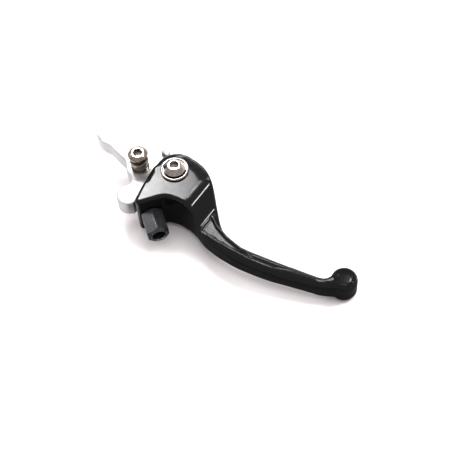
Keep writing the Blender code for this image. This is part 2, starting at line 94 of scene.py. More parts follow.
# ======== camera, floor and light ========
CAMERA_PLACE = (0.2792, -0.2669, 0.5540)
CAMERA_AZIMUTH, CAMERA_ELEVATION, CAMERA_ROLL = 39.42, 58.48, 5.654
CAMERA_LENS = 91.6
CARD_SIZE, CARD_XY = (0.204, 0.22), (0.118, -0.08)
CARD_LIFT = 0.0106  # keeps the card just over the sloping floor
LIGHT_AIM = Vector((0.05, -0.005, 0.0))
LIGHT_DISTANCE = 1.0
VIEW_GAMMA = 0.78


def camera_axes():
    """(right, up, forward) of the camera."""
    azimuth, elevation = math.radians(CAMERA_AZIMUTH), math.radians(CAMERA_ELEVATION)
    forward = Vector(
        (
            -math.sin(azimuth) * math.cos(elevation),
            math.cos(azimuth) * math.cos(elevation),
            -math.sin(elevation),
        )
    )
    level = Vector((math.cos(azimuth), math.sin(azimuth), 0.0))
    upright = level.cross(forward)
    roll = math.radians(CAMERA_ROLL)
    right = level * math.cos(roll) - upright * math.sin(roll)
    up = level * math.sin(roll) + upright * math.cos(roll)
    return right, up, forward


def add_camera():
    data = bpy.data.cameras.new("camera")
    data.lens = CAMERA_LENS
    data.sensor_width = 36.0
    data.clip_start, data.clip_end = 0.01, 20.0
    camera = bpy.data.objects.new("camera", data)
    bpy.context.scene.collection.objects.link(camera)
    right, up, forward = camera_axes()
    turn = Matrix((right, up, -forward)).transposed().to_4x4()
    camera.matrix_world = Matrix.Translation(CAMERA_PLACE) @ turn
    bpy.context.scene.camera = camera


def add_plane(name, size, place, turn):
    """A rectangle of the studio, which isn't part of the object. turn is in degrees round X, Y and Z."""
    mesh = bpy.data.meshes.new(name)
    body = bmesh.new()
    bmesh.ops.create_grid(body, x_segments=1, y_segments=1, size=0.5)
    bmesh.ops.scale(body, vec=(*size, 1.0), verts=body.verts)
    body.to_mesh(mesh)
    body.free()
    obj = bpy.data.objects.new(name, mesh)
    obj.location = place
    obj.rotation_euler = [math.radians(angle) for angle in turn]
    bpy.context.scene.collection.objects.link(obj)
    return obj


def matt(name, colour):
    material, shader = new_material(name)
    shader.inputs["Base Color"].default_value = (*colour, 1.0)
    shader.inputs["Roughness"].default_value = 0.9
    shader.inputs["Specular IOR Level"].default_value = 0.1
    return material


def add_floor():
    slope = -math.degrees(math.atan(FLOOR_SLOPE))
    low = CAD_BOX[0][2] - FLOOR_GAP * MM
    floor = add_plane("floor", (12.0, 12.0), (0.0, 0.0, low), (0.0, slope, 0.0))
    floor.data.materials.append(matt("studio_floor", (0.9, 0.89, 0.89)))
    # A dark card on the rider's side, seen only in the paint's reflections. It is painted shade: it darkens
    # the black walls' reflection of the floor beside the lever.
    card = add_plane("painted_shade_card", CARD_SIZE, (*CARD_XY, low + CARD_LIFT), (0.0, slope, 0.0))
    card.data.materials.append(matt("painted_shade_matt", (0.20, 0.20, 0.205)))
    card.visible_camera = card.visible_shadow = card.visible_diffuse = False


def add_light(name, towards, size, power):
    """An area light aimed at the lever from the direction towards."""
    data = bpy.data.lights.new(name, "AREA")
    data.shape = "RECTANGLE"
    data.size, data.size_y = size
    data.energy = power
    light = bpy.data.objects.new(name, data)
    direction = Vector(towards).normalized()
    light.location = LIGHT_AIM + direction * LIGHT_DISTANCE
    light.rotation_euler = direction.to_track_quat("Z", "Y").to_euler()
    bpy.context.scene.collection.objects.link(light)
    return light


def add_softbox(name, place, turn, size, radiance, cores):
    """A level light overhead that fades out to its border. cores is the share of each side that is even."""
    box = add_plane(name, size, place, (0.0, 0.0, turn))
    box.visible_camera = False
    material, shader = new_material(name)
    nodes = Nodes(material)
    split = nodes.add("ShaderNodeSeparateXYZ")
    nodes.feed(split.inputs[0], nodes.place)
    glow = radiance
    for axis, core in enumerate(cores):
        off_centre = nodes.math("ABSOLUTE", split.outputs[axis])
        fade = nodes.span(off_centre, core * size[axis] / 2, size[axis] / 2, 1.0, 0.0)
        glow = nodes.math("MULTIPLY", fade, glow)
    shader.inputs["Base Color"].default_value = (0.0, 0.0, 0.0, 1.0)
    shader.inputs["Specular IOR Level"].default_value = 0.0
    shader.inputs["Emission Color"].default_value = (1.0, 1.0, 1.0, 1.0)
    nodes.feed(shader.inputs["Emission Strength"], glow)
    box.data.materials.append(material)


def add_studio():
    world = bpy.data.worlds.new("studio")
    world.use_nodes = True
    background = world.node_tree.nodes["Background"]
    background.inputs["Color"].default_value = (1.0, 0.94, 0.95, 1.0)
    background.inputs["Strength"].default_value = 0.86
    bpy.context.scene.world = world
    view = bpy.context.scene.view_settings
    view.view_transform = "Standard"
    view.gamma = VIEW_GAMMA
    add_softbox("head_softbox", (-0.372, 0.318, 0.75), 56.5, (0.25, 0.32), 40.0, (0.1, 0.3))
    add_softbox("blade_softbox", (-0.190, 0.338, 0.75), 8.0, (0.22, 0.06), 38.0, (0.5, 0.4))
    add_light("key_light", (0.42, 0.42, 0.80), (0.13, 0.22), 3.6)
    add_light("rim_light", (-0.32, 0.80, 0.46), (0.40, 0.08), 2.2)
    add_light("side_fill", (-0.83, -0.22, 0.52), (0.45, 0.45), 1.0)
    overhead = add_light("shadow_box", (0.10, 0.22, 1.0), (1.0, 1.0), 8.0)
    overhead.visible_glossy = False


# ======== materials ========
LATHE_PITCH = 0.00022  # m between the rings on turned steel
LATHE_WOBBLE = 0.3  # of the pitch


def new_material(name):
    made = bpy.data.materials.new(name)
    made.use_nodes = True
    return made, made.node_tree.nodes["Principled BSDF"]


class Nodes:
    """Short calls that add and link a material's nodes."""

    def __init__(self, material):
        self.tree = material.node_tree
        self.place = self.add("ShaderNodeTexCoord").outputs["Object"]

    def add(self, kind, **settings):
        made = self.tree.nodes.new(kind)
        for key, value in settings.items():
            setattr(made, key, value)
        return made

    def feed(self, socket, value):
        if isinstance(value, bpy.types.NodeSocket):
            self.tree.links.new(value, socket)
        else:
            socket.default_value = value

    def noise(self, scale, detail=3.0, roughness=0.55, stretch=None):
        where = self.place
        if stretch:
            mapping = self.add("ShaderNodeMapping")
            self.feed(mapping.inputs["Vector"], where)
            mapping.inputs["Scale"].default_value = stretch
            where = mapping.outputs["Vector"]
        found = self.add("ShaderNodeTexNoise")
        self.feed(found.inputs["Vector"], where)
        found.inputs["Scale"].default_value = scale
        found.inputs["Detail"].default_value = detail
        found.inputs["Roughness"].default_value = roughness
        return found.outputs["Fac"]

    def span(self, value, low, high, start=0.0, end=1.0):
        """value, from low to high, mapped to start to end and kept between them."""
        found = self.add("ShaderNodeMapRange")
        for socket, number in zip(found.inputs, (value, low, high, start, end)):
            self.feed(socket, number)
        return found.outputs["Result"]

    def math(self, operation, first, second=0.0):
        found = self.add("ShaderNodeMath", operation=operation)
        self.feed(found.inputs[0], first)
        self.feed(found.inputs[1], second)
        return found.outputs[0]

    def mix(self, share, first, second):
        found = self.add("ShaderNodeMix", data_type="RGBA")
        self.feed(found.inputs["Factor"], share)
        self.feed(found.inputs[6], (*first, 1.0) if isinstance(first, tuple) else first)
        self.feed(found.inputs[7], (*second, 1.0) if isinstance(second, tuple) else second)
        return found.outputs[2]

    def bump(self, height, strength, distance, under=None):
        found = self.add("ShaderNodeBump")
        self.feed(found.inputs["Height"], height)
        found.inputs["Strength"].default_value = strength
        found.inputs["Distance"].default_value = distance
        if under is not None:
            self.feed(found.inputs["Normal"], under)
        return found.outputs["Normal"]

    def rings(self):
        """Fine lathe marks round the object's own Z axis: waves over its radius and its height."""
        split = self.add("ShaderNodeSeparateXYZ")
        self.feed(split.inputs[0], self.place)
        across = self.math("MULTIPLY", split.outputs[0], split.outputs[0])
        along = self.math("MULTIPLY", split.outputs[1], split.outputs[1])
        radius = self.math("SQRT", self.math("ADD", across, along))
        run = self.math("ADD", radius, split.outputs[2])
        waver = self.math("MULTIPLY", self.noise(900.0, 2.0), LATHE_WOBBLE * LATHE_PITCH)
        turns = self.math("MULTIPLY", self.math("ADD", run, waver), 2 * math.pi / LATHE_PITCH)
        return self.math("SINE", turns)

    def edges(self, low, high):
        """From 0 on flats to 1 on outer edges."""
        return self.span(self.add("ShaderNodeNewGeometry").outputs["Pointiness"], low, high)


def black_paint():
    """Gloss black over a forging: slight orange peel, dust in the lacquer, duller where it is handled."""
    material, shader = new_material("black_gloss_paint_look")
    nodes = Nodes(material)
    cloud = nodes.noise(55.0, 4.0)
    dust = nodes.span(nodes.noise(5200.0, 1.0), 0.70, 0.78)
    tint = nodes.mix(cloud, (0.0045, 0.0048, 0.0050), (0.0085, 0.0085, 0.0085))
    dusted = nodes.mix(nodes.math("MULTIPLY", dust, 0.3), tint, (0.05, 0.05, 0.05))
    nodes.feed(shader.inputs["Base Color"], dusted)
    handled = nodes.span(nodes.noise(130.0, 5.0, 0.62), 0.35, 0.7, 0.14, 0.19)
    nodes.feed(shader.inputs["Roughness"], nodes.math("ADD", handled, nodes.math("MULTIPLY", dust, 0.12)))
    peel = nodes.bump(nodes.noise(950.0, 2.0, 0.5), 0.10, 0.00003)
    skin = nodes.bump(nodes.noise(260.0, 3.0, 0.5), 0.14, 0.00006, peel)
    nodes.feed(shader.inputs["Normal"], skin)
    shader.inputs["IOR"].default_value = 1.42
    return material


def satin_aluminium():
    """Bright anodised aluminium with a fine blasted grain and faint marks along its length."""
    material, shader = new_material("satin_aluminium_look")
    nodes = Nodes(material)
    cloud = nodes.noise(70.0, 4.0)
    nodes.feed(shader.inputs["Base Color"], nodes.mix(cloud, (0.42, 0.425, 0.43), (0.49, 0.49, 0.485)))
    brushed = nodes.noise(420.0, 3.0, 0.6, stretch=(0.18, 1.0, 2.2))
    nodes.feed(shader.inputs["Roughness"], nodes.span(brushed, 0.3, 0.7, 0.36, 0.47))
    grain = nodes.bump(nodes.noise(3800.0, 2.0, 0.6), 0.12, 0.00002)
    nodes.feed(shader.inputs["Normal"], nodes.bump(brushed, 0.06, 0.00003, grain))
    shader.inputs["Metallic"].default_value = 0.85
    return material


def turned_steel(name, light, dark, roughness):
    """Turned and polished steel: fine rings round its axis, and a little tarnish."""
    material, shader = new_material(name)
    nodes = Nodes(material)
    tarnish = nodes.span(nodes.noise(340.0, 5.0, 0.6), 0.4, 0.72)
    nodes.feed(shader.inputs["Base Color"], nodes.mix(tarnish, light, dark))
    rings = nodes.rings()
    smear = nodes.span(nodes.noise(700.0, 3.0), 0.3, 0.7, roughness * 0.8, roughness * 1.25)
    nodes.feed(shader.inputs["Roughness"], smear)
    nodes.feed(shader.inputs["Normal"], nodes.bump(rings, 0.10, 0.00001))
    shader.inputs["Metallic"].default_value = 1.0
    return material


def blackened_steel():
    """Oil-blackened steel, worn a little brighter along its corners."""
    material, shader = new_material("blackened_steel_look")
    nodes = Nodes(material)
    mottle = nodes.noise(420.0, 5.0, 0.65)
    dark = nodes.mix(mottle, (0.060, 0.064, 0.068), (0.105, 0.108, 0.112))
    worn = nodes.math("MULTIPLY", nodes.edges(0.53, 0.62), nodes.span(nodes.noise(900.0, 4.0), 0.35, 0.6))
    nodes.feed(shader.inputs["Base Color"], nodes.mix(worn, dark, (0.34, 0.34, 0.34)))
    nodes.feed(shader.inputs["Roughness"], nodes.span(mottle, 0.3, 0.7, 0.24, 0.36))
    drawn = nodes.noise(1500.0, 3.0, 0.6, stretch=(1.0, 1.0, 0.06))
    nodes.feed(shader.inputs["Normal"], nodes.bump(drawn, 0.10, 0.00002))
    shader.inputs["Metallic"].default_value = 0.75
    return material


def bearing_bronze():
    """Oiled sintered bronze: a dark, porous surface."""
    material, shader = new_material("bearing_bronze_look")
    nodes = Nodes(material)
    pores = nodes.span(nodes.noise(2600.0, 3.0, 0.7), 0.52, 0.66)
    nodes.feed(shader.inputs["Base Color"], nodes.mix(pores, (0.48, 0.31, 0.14), (0.20, 0.12, 0.05)))
    nodes.feed(shader.inputs["Roughness"], nodes.span(pores, 0.0, 1.0, 0.34, 0.55))
    nodes.feed(shader.inputs["Normal"], nodes.bump(pores, 0.2, -0.00003))
    shader.inputs["Metallic"].default_value = 1.0
    return material


def dull_polymer(name, light, dark, roughness, scale, strength):
    """Moulded rubber or nylon, with a fine grain."""
    material, shader = new_material(name)
    nodes = Nodes(material)
    grain = nodes.noise(scale, 4.0, 0.6)
    nodes.feed(shader.inputs["Base Color"], nodes.mix(grain, dark, light))
    nodes.feed(shader.inputs["Roughness"], nodes.span(grain, 0.3, 0.7, roughness - 0.08, roughness + 0.08))
    nodes.feed(shader.inputs["Normal"], nodes.bump(grain, strength, 0.00003))
    return material


LOOKS = {
    "black_gloss_paint": black_paint(),
    "satin_aluminium": satin_aluminium(),
    "bright_steel": turned_steel("bright_steel_look", (0.44, 0.42, 0.395), (0.29, 0.27, 0.25), 0.22),
    "nickel_steel": turned_steel("nickel_steel_look", (0.38, 0.35, 0.31), (0.20, 0.165, 0.135), 0.24),
    "blackened_steel": blackened_steel(),
    "bearing_bronze": bearing_bronze(),
    "black_rubber": dull_polymer(
        "black_rubber_look", (0.050, 0.030, 0.028), (0.028, 0.018, 0.018), 0.6, 1800.0, 0.2
    ),
    "nylon": dull_polymer("nylon_look", (0.14, 0.24, 0.52), (0.10, 0.19, 0.45), 0.45, 1200.0, 0.1),
}


# ======== mesh helpers ========
MERGE_WITHIN = 0.000002  # m, for points that should be one
SEAM_WITHIN = 0.000005  # m, where a turned profile meets its own start


def evaluated_mesh(source, name):
    """The mesh of an object with its modifiers or its curve applied. The source object is removed."""
    bpy.context.view_layer.update()
    graph = bpy.context.evaluated_depsgraph_get()
    mesh = bpy.data.meshes.new_from_object(source.evaluated_get(graph))
    mesh.name = name
    bpy.data.objects.remove(source, do_unlink=True)
    return mesh


def temporary(name, mesh, matrix=None):
    obj = bpy.data.objects.new(name, mesh)
    bpy.context.scene.collection.objects.link(obj)
    if matrix is not None:
        obj.matrix_world = matrix
    return obj


def cleaned(mesh):
    body = bmesh.new()
    body.from_mesh(mesh)
    bmesh.ops.remove_doubles(body, verts=body.verts, dist=MERGE_WITHIN)
    bmesh.ops.recalc_face_normals(body, faces=body.faces)
    body.to_mesh(mesh)
    body.free()
    return mesh


def arc(centre, radius, start, end, steps):
    points = []
    for i in range(steps + 1):
        angle = math.radians(start + (end - start) * i / steps)
        points.append((centre[0] + radius * math.cos(angle), centre[1] + radius * math.sin(angle)))
    return points


def smooth(points, steps=8):
    """A smooth curve through all of the points (Catmull-Rom)."""
    ends = [points[0], *points, points[-1]]
    found = []
    for i in range(1, len(ends) - 2):
        before, start, end, after = ends[i - 1 : i + 3]
        for k in range(steps):
            t = k / steps
            found.append(
                tuple(
                    0.5
                    * (
                        2 * b
                        + (c - a) * t
                        + (2 * a - 5 * b + 4 * c - d) * t * t
                        + (3 * b - a - 3 * c + d) * t**3
                    )
                    for a, b, c, d in zip(before, start, end, after)
                )
            )
    found.append(points[-1])
    return found


def read_at(table, x):
    if x <= table[0][0]:
        return table[0][1]
    for (x0, v0), (x1, v1) in zip(table, table[1:]):
        if x <= x1:
            return v0 + (v1 - v0) * (x - x0) / (x1 - x0)
    return table[-1][1]


def ease(value, low, high):
    """0 below low, 1 above high, and a smooth step between them."""
    t = min(max((value - low) / (high - low), 0.0), 1.0)
    return t * t * (3 - 2 * t)


def eased_corners(profile, radius, closed, steps=4):
    """A profile whose corners are rounded, but not the ends of an open one."""
    found = []
    count = len(profile)
    for i, corner in enumerate(profile):
        if not closed and i in (0, count - 1):
            found.append(corner)
            continue
        point = Vector(corner)
        back, on = Vector(profile[i - 1]) - point, Vector(profile[(i + 1) % count]) - point
        cut = min(radius, 0.42 * back.length, 0.42 * on.length)
        first, last = point + back.normalized() * cut, point + on.normalized() * cut
        for k in range(steps + 1):
            t = k / steps
            found.append(tuple(first * (1 - t) ** 2 + point * 2 * t * (1 - t) + last * t * t))
    return found


def turned_mesh(name, profile, closed=False, rounding=0.12, steps=128):
    """A profile of (radius, height) pairs in mm, from top to bottom on its outer side, turned round Z."""
    if rounding:
        profile = eased_corners(profile, rounding, closed)
    mesh = bpy.data.meshes.new(name)
    count = len(profile)
    edges = [(i, (i + 1) % count) for i in range(count if closed else count - 1)]
    mesh.from_pydata([(r * MM, 0.0, z * MM) for r, z in profile], edges, [])
    source = temporary(name + "_profile", mesh)
    screw = source.modifiers.new("turn", "SCREW")
    screw.steps = screw.render_steps = steps
    screw.use_merge_vertices = True
    screw.merge_threshold = SEAM_WITHIN
    return cleaned(evaluated_mesh(source, name))


def hex_mesh(name, flats, low, high, turn=0.0):
    """A hexagonal prism along Z, with a corner on +Y before it is turned."""
    body = bmesh.new()
    corner = flats / math.sqrt(3) * MM
    depth = (high - low) * MM
    bmesh.ops.create_cone(body, cap_ends=True, segments=6, radius1=corner, radius2=corner, depth=depth)
    lift = Matrix.Translation((0.0, 0.0, (high + low) / 2 * MM))
    body.transform(lift @ Matrix.Rotation(math.radians(turn), 4, "Z"))
    mesh = bpy.data.meshes.new(name)
    body.to_mesh(mesh)
    body.free()
    return mesh


def outline_mesh(name, outline, low, high, rounding=0.0, round_steps=3):
    """A flat closed outline in mm, filled and extruded, with its upper and lower edges rounded."""
    curve = bpy.data.curves.new(name, "CURVE")
    curve.dimensions = "2D"
    curve.fill_mode = "BOTH"
    curve.extrude = (high - low) / 2 * MM
    spline = curve.splines.new("POLY")
    spline.points.add(len(outline) - 1)
    for point, (x, y) in zip(spline.points, outline):
        point.co = (x * MM, y * MM, 0.0, 1.0)
    spline.use_cyclic_u = True
    mesh = cleaned(evaluated_mesh(temporary(name + "_outline", curve), name))
    mesh.transform(Matrix.Translation((0.0, 0.0, (high + low) / 2 * MM)))
    if rounding:
        round_rims(mesh, rounding, round_steps)
    return mesh


def round_rims(mesh, rounding, round_steps):
    """Bevels the edges between an extrusion's flat ends and its sides."""
    body = bmesh.new()
    body.from_mesh(mesh)
    for side in (1.0, -1.0):
        flat = [face for face in body.faces if face.normal.z * side > 0.99]
        bmesh.ops.dissolve_faces(body, faces=flat)
    rims = [edge for edge in body.edges if sum(abs(face.normal.z) > 0.99 for face in edge.link_faces) == 1]
    bmesh.ops.bevel(
        body,
        geom=rims,
        offset=rounding * MM,
        offset_type="OFFSET",
        segments=round_steps,
        profile=0.5,
        affect="EDGES",
        clamp_overlap=False,
    )
    bmesh.ops.triangulate(body, faces=[face for face in body.faces if len(face.verts) > 4])
    body.to_mesh(mesh)
    body.free()


def cut(mesh, name, others):
    """The mesh after a list of (operation, mesh, matrix) Booleans."""
    source = temporary(name, mesh)
    helpers = []
    for i, (operation, other, matrix) in enumerate(others):
        helper = temporary(name + "_helper", other, matrix)
        helpers.append(helper)
        modifier = source.modifiers.new(str(i), "BOOLEAN")
        modifier.operation = operation
        modifier.object = helper
        modifier.solver = "MANIFOLD"
    result = evaluated_mesh(source, name)
    for helper in helpers:
        bpy.data.objects.remove(helper, do_unlink=True)
    return result


def bevelled(mesh, name, width):
    source = temporary(name, mesh)
    bevel = source.modifiers.new("bevel", "BEVEL")
    bevel.width = width * MM
    bevel.segments = 3
    bevel.limit_method = "ANGLE"
    bevel.angle_limit = math.radians(35.0)
    bevel.use_clamp_overlap = True
    return evaluated_mesh(source, name)


def finish_piece(node, mesh, slot, body, axis=PERCH_AXIS, sharp=32.0):
    """Puts a piece in place of the frame's node, with its look. It rides on its body if one is given."""
    mesh.materials.clear()
    mesh.materials.append(LOOKS[slot])
    for face in mesh.polygons:
        face.material_index = 0
    mesh.shade_smooth()
    mesh.set_sharp_from_angle(angle=math.radians(sharp))
    piece = bpy.data.objects.new(node + "_look", mesh)
    bpy.context.scene.collection.objects.link(piece)
    piece.matrix_world = axis
    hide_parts(node)
    if body:
        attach(piece, body)
    return piece


# ======== the blade ========
# Its plan, from the head to the ball: (x, y) of its forward and of its rider's side.
FORWARD_SIDE = smooth(
    [
        (34.0, 15.6), (38.0, 14.3), (42.0, 12.0), (45.6, 9.2), (48.8, 6.2), (52.3, 2.5), (57.0, -2.4),
        (61.5, -6.9), (65.8, -10.1), (71.0, -12.2), (78.0, -12.8), (86.0, -11.9), (98.0, -10.0),
        (110.0, -8.3), (122.0, -6.3), (127.5, -5.1), (129.8, -3.9), (131.4, -1.4), (132.8, 1.6), (138.0, 2.0),
    ]
)  # fmt: skip
RIDER_SIDE = smooth(
    [
        (34.0, -12.4), (38.0, -11.9), (42.0, -12.3), (46.0, -13.5), (50.4, -15.6), (54.5, -18.1),
        (60.0, -20.3), (66.0, -21.5), (72.0, -22.2), (79.0, -22.4), (86.0, -22.0), (98.0, -20.2),
        (110.0, -17.6), (122.0, -14.3), (130.0, -11.9), (134.0, -10.1), (138.5, -7.4),
    ]
)  # fmt: skip
HALF_THICKNESS = [
    (43.9, HEAD_HALF), (44.9, 14.35), (45.8, 13.95), (46.7, 13.3), (53.0, 7.7), (53.9, 7.05), (54.9, 6.65),
    (56.2, 6.5), (85.0, 6.3), (110.0, 5.9), (126.0, 5.9), (134.0, 7.0),
]  # fmt: skip
# How square the section is, as a superellipse's exponent.
SQUARENESS = [(45.5, 14.0), (56.0, 9.0), (64.0, 5.6), (74.0, 3.6), (86.0, 2.9), (126.0, 2.7), (138.0, 2.7)]
# The section leans about the blade's axis, so that its crest runs first on the rider's side, then forward.
LEAN = [(72.0, 0.0), (84.0, 5.0), (102.0, 5.0), (112.0, -6.0), (126.0, -6.0), (132.0, 0.0)]
SECTION_STEPS = 96
LOFT_START, LOFT_END, LOFT_STEP = 36.0, 138.0, 0.6
VOXEL = 0.32


def section(x):
    """A superellipse across the blade at x, as (y, z) pairs."""
    high, low = read_at(FORWARD_SIDE, x), read_at(RIDER_SIDE, x)
    half, square = read_at(HALF_THICKNESS, x), read_at(SQUARENESS, x)
    lean = math.radians(read_at(LEAN, x))
    middle, reach = (high + low) / 2, (high - low) / 2
    points = []
    for i in range(SECTION_STEPS):
        angle = 2 * math.pi * (i + 0.5) / SECTION_STEPS
        cosine, sine = math.cos(angle), math.sin(angle)
        y = math.copysign(abs(cosine) ** (2 / square), cosine) * reach
        z = math.copysign(abs(sine) ** (2 / square), sine) * half
        points.append((middle + y * math.cos(lean), z - y * math.sin(lean) * math.copysign(1.0, z)))
    return points


def loft_mesh():
    body = bmesh.new()
    rings = []
    count = round((LOFT_END - LOFT_START) / LOFT_STEP)
    for i in range(count + 1):
        x = LOFT_START + (LOFT_END - LOFT_START) * i / count
        rings.append([body.verts.new((x * MM, y * MM, z * MM)) for y, z in section(x)])
    for ring, following in zip(rings, rings[1:]):
        for i, vert in enumerate(ring):
            j = (i + 1) % len(ring)
            body.faces.new((vert, ring[j], following[j], following[i]))
    body.faces.new(rings[0])
    body.faces.new(rings[-1])
    bmesh.ops.recalc_face_normals(body, faces=body.faces)
    mesh = bpy.data.meshes.new("blade_loft")
    body.to_mesh(mesh)
    body.free()
    return mesh


def along_adjuster(distance, across=0.0):
    angle = math.radians(ADJUSTER_ANGLE)
    x = ADJUSTER_FOOT[0] + distance * math.cos(angle) - across * math.sin(angle)
    y = ADJUSTER_FOOT[1] + distance * math.sin(angle) + across * math.cos(angle)
    return (x, y)


def head_outline():
    """Counterclockwise from the corner beside the adjuster."""
    corner = arc((17.9, -23.3), 2.5, 190.0, 322.0, 12)
    boss = [along_adjuster(0.0, -3.6), along_adjuster(0.0, 5.6)]
    rider_side = [(27.6, -15.3), (29.4, -13.8), (32.0, -12.8), (35.0, -12.2), (38.0, -11.9), (42.0, -12.3)]
    forward_side = smooth([(42.0, 12.0), (38.0, 14.3), (33.8, 15.8), (28.8, 16.6)], 6)
    ear = arc((23.9, 4.1), 12.8, 78.0, 186.0, 40)
    back = smooth([(11.5, -5.0), (12.6, -11.0), (14.1, -18.0)], 6)
    return corner + boss + smooth(rider_side, 6) + forward_side + ear + back


def ball_mesh():
    """A flattened ball."""
    edge, radius, half = 3.3, 7.4, 7.5
    side = radius - edge
    profile = [(0.0, half)]
    profile += [(side + x, z) for x, z in arc((0.0, half - edge), edge, 90.0, 0.0, 14)]
    profile += [(side + x, z) for x, z in arc((0.0, -half + edge), edge, 0.0, -90.0, 14)]
    profile.append((0.0, -half))
    return turned_mesh("ball", profile, rounding=0.0, steps=96)


def slot_outline():
    return arc(FOLD, 45.0, 30.0, 250.0, 24) + arc(FOLD, SLOT_RADIUS, 250.0, 390.0, 60)


def forged_body():
    """Head, blade and ball run together into one soft skin."""
    head = outline_mesh("head", head_outline(), -HEAD_HALF, HEAD_HALF, 1.9, 5)
    joined = cut(head, "forged_body", [("UNION", loft_mesh(), None), ("UNION", ball_mesh(), BALL_PLACE)])
    source = temporary("forged_body", joined)
    remesh = source.modifiers.new("remesh", "REMESH")
    remesh.mode = "VOXEL"
    remesh.voxel_size = VOXEL * MM
    relax = source.modifiers.new("relax", "SMOOTH")
    relax.factor = 0.5
    relax.iterations = 9
    return evaluated_mesh(source, "forged_body")


# The recessed floor at the root of the blade, a long triangle: (x, y) of its forward and its rider's border.
FLOOR_FORWARD = [(56.2, -7.4), (61.9, -11.1), (69.9, -13.9), (78.0, -15.3), (86.0, -16.4)]
FLOOR_RIDER = [(56.2, -16.9), (70.0, -17.5), (86.0, -17.1)]
FLOOR_DEPTH, RIDGE_RISE = 0.85, 0.2
ROOT_BEGINS, ROOT_FADES = (54.9, 56.9), (80.0, 91.0)  # along X
# Across the border, from its inner side: the floor's edge, then the ridge's inner and outer flanks.
FLOOR_EDGE, RIDGE_INNER, RIDGE_OUTER = (-0.1, 0.6), (0.1, 0.45), (1.35, 1.9)
# The head's flats fall by this much at their outer borders, less towards the blade.
CROWN_DROP, CROWN_END, CROWN_FADE = 1.05, 47.0, 9.0


def shaped_root(x, y, height):
    """The height in mm of the skin at the blade's root: a sunk floor between two flat-topped ridges."""
    inside = min(read_at(FLOOR_FORWARD, x) - y, y - read_at(FLOOR_RIDER, x))
    top = read_at(HALF_THICKNESS, x)
    start, fade = ease(x, *ROOT_BEGINS), 1.0 - ease(x, *ROOT_FADES)
    floor = start * fade * ease(inside, *FLOOR_EDGE)
    ridge = start * fade * ease(-inside, *RIDGE_INNER) * (1.0 - ease(-inside, *RIDGE_OUTER))
    height += (top - FLOOR_DEPTH - height) * floor
    return height + (top + RIDGE_RISE - height) * ridge


def shape_skin(mesh):
    """Crowns the head's flats towards their outer borders, and sinks the floors at the blade's root."""
    rim = [Vector(point) for point in head_outline() if point[0] < 43.0 and point[1] > -11.0]
    for vert in mesh.vertices:
        x, y, z = (value / MM for value in vert.co)
        if x < 48.0 and abs(z) > 9.0:
            place = Vector((x, y))
            near, edge_x = min(((place - point).length, point.x) for point in rim)
            reach = 4.0 + 4.5 * ease(edge_x, 13.0, 24.0)
            turned = min(near / reach, (CROWN_END - x) / CROWN_FADE)
            drop = CROWN_DROP * (1.0 - ease(turned, 0.0, 1.0)) ** 1.4
            z -= math.copysign(drop * ease(abs(z), 9.0, 13.5), z)
        elif abs(z) > 4.0 and 54.0 < x < 92.0:
            z = math.copysign(shaped_root(x, y, abs(z)), z)
        vert.co.z = z * MM


def build_blade():
    mesh = forged_body()
    shape_skin(mesh)
    slot = outline_mesh("slot", slot_outline(), -SLOT_HALF, SLOT_HALF)
    bolt_bore = [
        (0.0, 20.0), (3.25, 20.0), (3.25, -10.2), (6.6, -10.2), (6.6, -14.2), (7.0, -14.7),
        (7.0, -20.0), (0.0, -20.0),
    ]  # fmt: skip
    spigot_bore = [
        (0.0, 4.0), (5.3, 4.0), (5.3, 0.1), (4.9, -0.3), (4.9, -3.1), (5.6, -3.1), (5.6, -4.3),
        (4.9, -4.3), (4.9, -5.2), (3.4, -5.2), (3.4, -12.0), (0.0, -12.0),
    ]  # fmt: skip
    leg_hole = [(0.0, -5.0), (1.2, -5.0), (1.2, -8.9), (0.0, -8.9)]
    dimple = [(0.0, 8.8), (5.3, 8.8), (5.25, 7.3), (4.1, 6.3), (3.2, 6.15), (0.0, 6.1)]
    cuts = [
        ("DIFFERENCE", slot, None),
        ("DIFFERENCE", turned_mesh("bolt_bore", bolt_bore, rounding=0.0), FOLD_AXIS),
        ("DIFFERENCE", turned_mesh("spigot_bore", spigot_bore, rounding=0.0), ADJUSTER_AXIS),
        ("DIFFERENCE", turned_mesh("leg_hole", leg_hole, rounding=0.0, steps=32), LEG_PLACE),
        ("DIFFERENCE", turned_mesh("dimple", dimple, rounding=0.3), BALL_PLACE),
    ]
    mesh = cut(mesh, "blade_look", cuts)
    finish_piece("blade", mesh, "black_gloss_paint", "blade", sharp=38.0)


# ======== the base knuckle ========
def base_outline():
    """Counterclockwise from the tail's tip: tail, perch boss, pusher lobe, stop face, tongue, far edge."""
    near_tail = [(-35.3, 3.8), (-32.4, 2.2), (-27.6, 1.4), (-23.6, 1.7), (-16.8, 0.0), (-9.6, -1.8)]
    perch_boss = arc((0.0, 0.0), 8.3, 205.0, 262.0, 14)
    notch = smooth([(0.2, -8.7), (1.3, -9.6), (2.2, -11.4), (2.2, -13.4)], 4)
    lobe = arc((6.3, -19.8), 6.8, 130.0, 310.0, 48)
    stop = [(12.5, -23.4), (12.4, -20.4), along_adjuster(STOP_FACE, -4.6), along_adjuster(STOP_FACE, 5.0)]
    tongue = arc(FOLD, TONGUE_RADIUS, -117.0, 122.0, 72)
    shoulder = smooth([(15.0, 12.6), (13.6, 13.9), (12.7, 15.3), (11.2, 16.2)], 5)
    far_edge = smooth([(7.0, 16.3), (1.3, 16.1), (-4.0, 14.5), (-10.8, 12.4), (-22.6, 8.3), (-34.9, 4.55)], 8)
    tip = [(-35.4, 4.2)]
    return smooth(near_tail, 8) + perch_boss + notch + lobe + stop + tongue + shoulder + far_edge + tip


